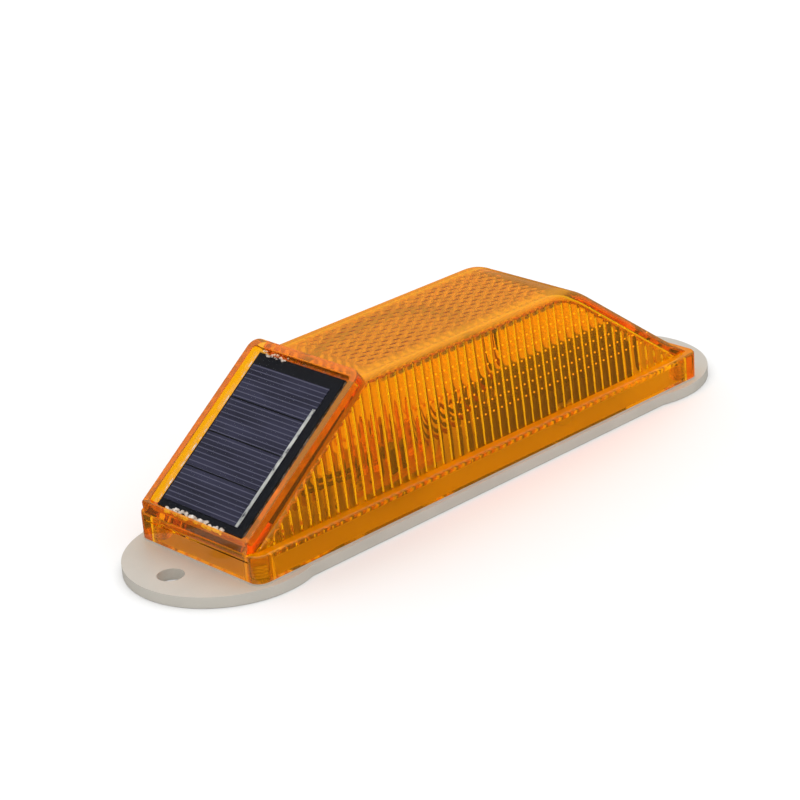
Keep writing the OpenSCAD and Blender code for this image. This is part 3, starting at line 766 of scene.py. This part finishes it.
def add_skirt_outside(bm, bottom, steps=5):
    """The skirt's outer side from the bottom up over its rounded upper edge."""
    outline = rounded_rect(-SKIRT_HALF_L, SKIRT_HALF_L, SKIRT_HALF_W, SKIRT_R)
    ring = add_ring(bm, [(x, y, bottom) for x, y in outline])
    for i in range(steps + 1):
        angle = math.pi / 2 * i / steps
        inset = SKIRT_EDGE_R * (1 - math.cos(angle))
        z = SKIRT_TOP - SKIRT_EDGE_R * (1 - math.sin(angle))
        half_l, half_w = SKIRT_HALF_L - inset, SKIRT_HALF_W - inset
        outline = rounded_rect(-half_l, half_l, half_w, SKIRT_R - inset)
        upper = add_ring(bm, [(x, y, z) for x, y in outline])
        join_rings(bm, ring, upper)
        ring = upper


def build_lens():
    """The hollow lens: outer skin, ribbed inner skin, skirt, and a bore in each corner boss."""
    bm = bmesh.new()
    add_body(
        bm, 0, SKIRT_TOP, OUTER_STEP, edge_r=EDGE_R, rows=even_rows, edge_steps=6, roof_steps=10,
        wall_relief=no_relief, roof_relief=no_relief,
    )
    add_body(
        bm, WALL, CEILING, RIB_PITCH / RIB_STEPS, edge_r=INNER_EDGE_R, rows=rib_rows, edge_steps=3,
        roof_steps=112, wall_relief=rib_relief, roof_relief=pip_relief,
    )
    bottom = PLATE_TOP + SEAT_GAP
    add_skirt_outside(bm, bottom)
    inner = skirt_inner_loop()
    join_rings(
        bm,
        add_ring(bm, [(x, y, bottom) for x, y in inner]),
        add_ring(bm, [(x, y, CEILING) for x, y in inner]),
    )
    for sx in (-1, 1):
        for sy in (-1, 1):
            add_bore(bm, sx * BOSS_X, sy * BOSS_Y, bottom)
    bmesh.ops.remove_doubles(bm, verts=bm.verts, dist=1e-4)
    for face in bm.faces:
        face.smooth = True
    for z in (SKIRT_TOP, CEILING, bottom):
        fill_level(bm, z)
    open_edges = sum(not e.is_manifold for e in bm.edges)
    print("lens: faces", len(bm.faces), "open edges", open_edges)
    make_piece("lens_shell", bm, LOOKS["amber_lens"], ["lens_cover"])


def add_bore(bm, x, y, bottom, steps=24):
    """A blind screw hole up into a corner boss."""
    circle = [
        (x + BORE_R * math.cos(2 * math.pi * i / steps), y + BORE_R * math.sin(2 * math.pi * i / steps))
        for i in range(steps)
    ]
    low = add_ring(bm, [(px, py, bottom) for px, py in circle])
    high = add_ring(bm, [(px, py, BORE_TOP) for px, py in circle])
    join_rings(bm, low, high)
    bm.faces.new(high)


# Tray


def tray_levels(steps=4):
    """Outlines up the tray's outside, over its rounded rim and down into its pocket.

    Each is its low end, high end, half width, corner radius and height above the slope.
    """
    x0, x1 = TRAY_START, TRAY_START + TRAY_L
    half = TRAY_W / 2
    p0, p1, pocket_half = x0 + TRAY_LOW, x1 - TRAY_HIGH, half - TRAY_SIDE
    turns = [math.pi / 2 * i / steps for i in range(steps + 1)]
    levels = [(x0, x1, half, TRAY_R, TRAY_GAP)]
    for turn in turns:
        inset = RIM_R * (1 - math.cos(turn))
        above = TRAY_H - RIM_R * (1 - math.sin(turn))
        levels.append((x0 + inset, x1 - inset, half - inset, TRAY_R - inset, above))
    for turn in turns:
        outset = RIM_R * (1 - math.sin(turn))
        above = TRAY_H - RIM_R * (1 - math.cos(turn))
        levels.append((p0 - outset, p1 + outset, pocket_half + outset, POCKET_R + outset, above))
    levels.append((p0, p1, pocket_half, POCKET_R, TRAY_FLOOR))
    return levels


def build_tray():
    """The tray, cut off flush with the skirt's end and above its ledge."""
    bm = bmesh.new()
    rings = []
    for low, high, half_w, r, above in tray_levels():
        outline = rounded_rect(low, high, half_w, r, steps=10)
        rings.append(add_ring(bm, [on_slope(x, y, above) for x, y in outline]))
    for lower, upper in zip(rings, rings[1:]):
        join_rings(bm, lower, upper)
    bm.faces.new(rings[0])
    bm.faces.new(rings[-1])
    trim(bm, Vector((-SKIRT_HALF_L, 0, 0)), Vector((-1, 0, 0)))
    trim(bm, Vector((0, 0, SKIRT_TOP + TRAY_GAP)), Vector((0, 0, -1)))
    for face in bm.faces:
        face.smooth = True
    print("tray: open edges", sum(not e.is_manifold for e in bm.edges))
    make_piece("tray_shell", bm, LOOKS["amber_tray"], ["solar_tray"])


def trim(bm, point, outward):
    """Cuts away everything beyond a plane and closes the cut."""
    everything = bm.verts[:] + bm.edges[:] + bm.faces[:]
    bmesh.ops.bisect_plane(bm, geom=everything, plane_co=point, plane_no=outward, clear_outer=True)
    edges = [e for e in bm.edges if e.is_boundary]
    bmesh.ops.triangle_fill(bm, use_beauty=True, edges=edges, normal=outward)


# Sealant round the panel


def rect_point(x0, x1, half, turn):
    """A point on a rectangle's outline, where turn runs from 0 to 4 with one unit for each side."""
    side = int(turn) % 4
    share = turn - int(turn)
    corners = [(x0, half), (x0, -half), (x1, -half), (x1, half), (x0, half)]
    (ax, ay), (bx, by) = corners[side], corners[side + 1]
    return ax + (bx - ax) * share, ay + (by - ay) * share


def build_seal_fill(steps=200):
    """Clear sealant that fills the channel between the panel and the tray's walls."""
    bm = bmesh.new()
    rows = [[], [], [], []]
    gap = FILL_GAP
    bottom = TRAY_FLOOR + gap
    pocket_low = TRAY_START + TRAY_LOW + gap
    pocket_high = TRAY_START + TRAY_L - TRAY_HIGH - gap
    for i in range(steps):
        turn = 4 * i / steps
        inner = rect_point(PANEL_START - gap, PANEL_START + PANEL_L + gap, PANEL_W / 2 + gap, turn)
        outer = rect_point(pocket_low, pocket_high, TRAY_W / 2 - TRAY_SIDE - gap, turn)
        top = FILL_TOP - FILL_DIP * random.random()
        corners = ((inner, bottom), (inner, top), (outer, top), (outer, bottom))
        for row, ((x, y), above) in zip(rows, corners):
            row.append(bm.verts.new(on_slope(x, y, above)))
    for k in range(4):
        join_rings(bm, rows[k], rows[(k + 1) % 4])
    for face in bm.faces:
        face.smooth = True
    clear = silicone_look("sealant_clear", 0.0, 0.08)
    make_piece("sealant_fill", bm, clear, ["silicone_bead"])


def add_lump(bm, along, across, above, length, width, height):
    """A lumpy drop lying on the slope, long across the panel."""
    made = bmesh.ops.create_icosphere(bm, subdivisions=2, radius=1)
    for vert in made["verts"]:
        lump = 1 + random.uniform(-0.18, 0.18)
        place = vert.co * lump
        vert.co = on_slope(along + place.x * width, across + place.y * length, above + place.z * height)


def smear_row(bm, along, drift, across, last, sizes, steps, above, shape):
    """Drops side by side across the panel, each with its own size, drift up the slope and next step."""
    while across > last:
        size = random.uniform(*sizes)
        length, width, height = (size * share for share in shape)
        add_lump(bm, along + random.uniform(*drift), across, above, length, width, height)
        across -= random.uniform(*steps)


def build_smears():
    """White sealant pressed out over the panel's low edge, its upper left corner and the left wall."""
    bm = bmesh.new()
    smear_row(
        bm, PANEL_START - 0.15, drift=(-0.8, 0.7), across=11.3, last=-9.6, sizes=(0.5, 1.0),
        steps=(0.2, 0.6), above=PANEL_FACE, shape=(0.9, 0.6, 0.18),
    )
    smear_row(
        bm, PANEL_START + PANEL_L + 0.35, drift=(-0.9, 0.3), across=13.6, last=5, sizes=(0.45, 0.85),
        steps=(0.25, 0.7), above=PANEL_FACE - 0.1, shape=(0.6, 0.45, 0.3),
    )
    along = PANEL_START + 2
    while along < PANEL_START + PANEL_L:
        if random.random() < 0.6:
            size = random.uniform(0.3, 0.7)
            add_lump(bm, along, PANEL_W / 2 + 0.5, FILL_TOP, 0.35 * size, 1.6 * size, 0.25 * size)
        along += random.uniform(0.9, 2.2)
    for face in bm.faces:
        face.smooth = True
    make_piece("sealant_smears", bm, LOOKS["silicone"], sharp=180)


# Screws and the switch lever


def add_screw(bm, x, y, head_z, toward, head_r, head_h, shaft_r, shaft_l, pitch, steps=40):
    """A pan-head screw with a cross recess and a thread; toward is 1 if its tip points up, -1 if down."""
    def ring(radius, depth, shape=None):
        points = []
        for k in range(steps):
            angle = 2 * math.pi * k / steps
            r, d = shape(angle, radius, depth) if shape else (radius, depth)
            points.append((x + r * math.cos(angle), y + r * math.sin(angle), head_z + toward * d))
        return add_ring(bm, points)

    def recess(angle, radius, depth):
        arm = radius * min(abs(math.cos(angle)), abs(math.sin(angle)))
        reach = radius / (CROSS_REACH * head_r)
        in_cross = arm < CROSS_ARM * head_r and reach < 1
        return radius, depth + (CROSS_DEPTH * head_h * (1 - 0.5 * reach) if in_cross else 0)

    def thread(angle, radius, depth):
        phase = depth / pitch - angle / (2 * math.pi)
        return radius - THREAD_DEPTH * shaft_r * (1 + math.cos(2 * math.pi * phase)), depth

    rings = [ring(head_r * 0.04, CROSS_DEPTH * head_h)]
    for i in range(1, FACE_STEPS + 1):
        share = i / FACE_STEPS
        rings.append(ring(head_r * FACE_REACH * share, FACE_DOME * head_h * share * share, recess))
    for radius, depth in ((head_r * 0.96, 0.4), (head_r, 0.65), (head_r, 1), (shaft_r, 1)):
        rings.append(ring(radius, depth * head_h))
    turns = int(shaft_l / pitch * 6)
    for i in range(1, turns):
        rings.append(ring(shaft_r, head_h + shaft_l * i / turns, thread))
    rings.append(ring(shaft_r * 0.5, head_h + shaft_l))
    for low, high in zip(rings, rings[1:]):
        join_rings(bm, low, high)
    bm.faces.new(rings[0])
    bm.faces.new(rings[-1])


def build_screws(node, head_r, head_h, shaft_r, pitch, toward=-1, four=False):
    """Detailed screws in place of a CAD node's plain ones, at the corners of its box."""
    low, high = box_mm(node)
    left, right = low.x + head_r, high.x - head_r
    front, back = low.y + head_r, high.y - head_r
    places = [(left, front), (right, back)] + ([(left, back), (right, front)] if four else [])
    bm = bmesh.new()
    for x, y in places:
        head_z = low.z if toward > 0 else high.z
        add_screw(bm, x, y, head_z, toward, head_r, head_h, shaft_r, high.z - low.z - head_h, pitch)
    for face in bm.faces:
        face.smooth = True
    make_piece(node + "_cut", bm, LOOKS[SLOTS[node]], [node], sharp=35)


def add_bar(bm, centre_x, half_l, half_w, top, bottom, steps=24):
    """A bar along X whose underside height comes from bottom(x)."""
    previous = None
    for i in range(steps + 1):
        x = centre_x + half_l * (2 * i / steps - 1)
        low = bottom(x - centre_x)
        ring = add_ring(bm, [(x, -half_w, low), (x, half_w, low), (x, half_w, top), (x, -half_w, top)])
        if previous:
            join_rings(bm, previous, ring)
        else:
            bm.faces.new(ring)
        previous = ring
    bm.faces.new(previous)


def build_lever():
    """The switch's sliding lever, with finger ridges across the end of its stem."""
    low, high = box_mm("switch_lever")
    centre_x = (low.x + high.x) / 2
    bm = bmesh.new()
    add_bar(bm, centre_x, (high.x - low.x) / 2, high.y, high.z, lambda x: high.z - LEVER_SLIDER_H, 1)
    add_bar(
        bm, centre_x, LEVER_STEM_L / 2, LEVER_STEM_W / 2, high.z - LEVER_SLIDER_H / 2,
        lambda x: low.z + LEVER_RIDGE_H / 2 * (1 + math.cos(2 * math.pi * x / LEVER_RIDGE)),
    )
    slot = SLOTS["switch_lever"]
    piece = make_piece("lever_ridged", bm, LOOKS[slot], ["switch_lever"], SLIDER)
    add_bevel(piece, LEVER_EDGE)


# CAD pieces that keep their shape

CREASE = math.radians(40)
WIRES = ["panel_wire_red", "panel_wire_black", "battery_wire_red", "battery_wire_black", "switch_wires"]
EDGES = {
    "base_plate": 0.5, "battery_holder": 0.3, "circuit_board": 0.1, "controller_chip": 0.12, "capacitor": 0.2,
    "battery_can": 0.3, "panel_board": 0.08, "switch_frame": 0.12, "inductor": 0.1,
    "battery_sleeve": 0.05,
}


def add_bevel(piece, edge_mm, segments=2):
    bevel = piece.modifiers.new("bevel", "BEVEL")
    bevel.width = edge_mm * MM
    bevel.segments = segments
    bevel.limit_method = "ANGLE"
    bevel.angle_limit = CREASE
    bevel.harden_normals = True


def soften(node, material, edge_mm):
    """Gives a CAD piece its material, welded smooth shading and slightly rounded edges."""
    piece = NODES[node]
    mesh = piece.data
    if "custom_normal" in mesh.attributes:
        mesh.attributes.remove(mesh.attributes["custom_normal"])
    for polygon in mesh.polygons:
        polygon.use_smooth = True
    mesh.materials.clear()
    mesh.materials.append(material)
    weld = piece.modifiers.new("weld", "WELD")
    weld.merge_threshold = 0.001 * MM
    if node in WIRES:
        smooth = piece.modifiers.new("round", "SUBSURF")
        smooth.levels = smooth.render_levels = 2
    elif edge_mm:
        add_bevel(piece, edge_mm)
    else:
        split = piece.modifiers.new("crease", "EDGE_SPLIT")
        split.split_angle = CREASE


def dress_cad_pieces():
    """Softens every CAD piece that no finer mesh has replaced."""
    own_looks = {"cell_ribbon": ribbon_look()}
    for node in NODES:
        if not NODES[node].hide_render:
            soften(node, own_looks.get(node, LOOKS[SLOTS[node]]), EDGES.get(node, 0))


# Stage


def build_floor():
    bm = bmesh.new()
    corners = [(FLOOR_HALF * sx, FLOOR_HALF * sy) for sx, sy in ((-1, -1), (1, -1), (1, 1), (-1, 1))]
    bm.faces.new([bm.verts.new((x, y, FLOOR_LEVEL)) for x, y in corners])
    bmesh.ops.scale(bm, vec=(MM, MM, MM), verts=bm.verts)
    mesh = bpy.data.meshes.new("floor")
    bm.to_mesh(mesh)
    bm.free()
    mesh.materials.append(floor_look())
    floor = bpy.data.objects.new("floor", mesh)
    bpy.context.scene.collection.objects.link(floor)


def build_sky():
    """Soft studio light: a bright ceiling that fades to a dimmer horizon, dimmer still in reflections."""
    world = bpy.data.worlds.new("studio")
    bpy.context.scene.world = world
    world.use_nodes = True
    tree = world.node_tree
    tree.nodes.clear()
    place = tree.nodes.new("ShaderNodeTexCoord")
    split = tree.nodes.new("ShaderNodeSeparateXYZ")
    span = tree.nodes.new("ShaderNodeMapRange")
    back = tree.nodes.new("ShaderNodeBackground")
    out = tree.nodes.new("ShaderNodeOutputWorld")
    rays = tree.nodes.new("ShaderNodeLightPath")
    mirrored = tree.nodes.new("ShaderNodeMath")
    mirrored.operation = "SUBTRACT"
    horizon = tree.nodes.new("ShaderNodeMapRange")
    horizon.inputs["To Min"].default_value = SKY_SIDE
    horizon.inputs["To Max"].default_value = SKY_MIRRORED
    span.interpolation_type = "SMOOTHSTEP"
    span.inputs["From Min"].default_value = SKY_BLEND[0]
    span.inputs["From Max"].default_value = SKY_BLEND[1]
    span.inputs["To Max"].default_value = SKY_HIGH
    tree.links.new(rays.outputs["Is Glossy Ray"], mirrored.inputs[0])
    tree.links.new(rays.outputs["Is Transmission Ray"], mirrored.inputs[1])
    tree.links.new(mirrored.outputs[0], horizon.inputs["Value"])
    tree.links.new(horizon.outputs[0], span.inputs["To Min"])
    tree.links.new(place.outputs["Generated"], split.inputs[0])
    tree.links.new(split.outputs["Z"], span.inputs["Value"])
    tree.links.new(span.outputs[0], back.inputs["Strength"])
    tree.links.new(back.outputs[0], out.inputs["Surface"])


def build_camera():
    back = Vector((
        math.sin(CAMERA_AZIMUTH) * math.cos(CAMERA_ELEVATION),
        -math.cos(CAMERA_AZIMUTH) * math.cos(CAMERA_ELEVATION),
        math.sin(CAMERA_ELEVATION),
    ))
    data = bpy.data.cameras.new("camera")
    data.lens = CAMERA_LENS
    data.sensor_width = SENSOR_W
    camera = bpy.data.objects.new("camera", data)
    bpy.context.scene.collection.objects.link(camera)
    camera.location = (CAMERA_AIM + back * CAMERA_DISTANCE) * MM
    camera.rotation_mode = "QUATERNION"
    camera.rotation_quaternion = (-back).to_track_quat("-Z", "Y") @ Quaternion(UP, CAMERA_ROLL)
    bpy.context.scene.camera = camera


def set_light_paths():
    scene = bpy.context.scene
    scene.view_settings.view_transform = "Standard"
    scene.cycles.max_bounces = 16
    scene.cycles.transmission_bounces = 16
    scene.cycles.glossy_bounces = 6
    scene.cycles.diffuse_bounces = 4
    scene.cycles.transparent_max_bounces = 24
    scene.cycles.sample_clamp_indirect = 6


build_lens()
build_tray()
build_seal_fill()
build_smears()
for screw_node, screw_sizes in SCREWS.items():
    build_screws(screw_node, **screw_sizes)
build_lever()
dress_cad_pieces()
build_floor()
build_sky()
build_camera()
set_light_paths()
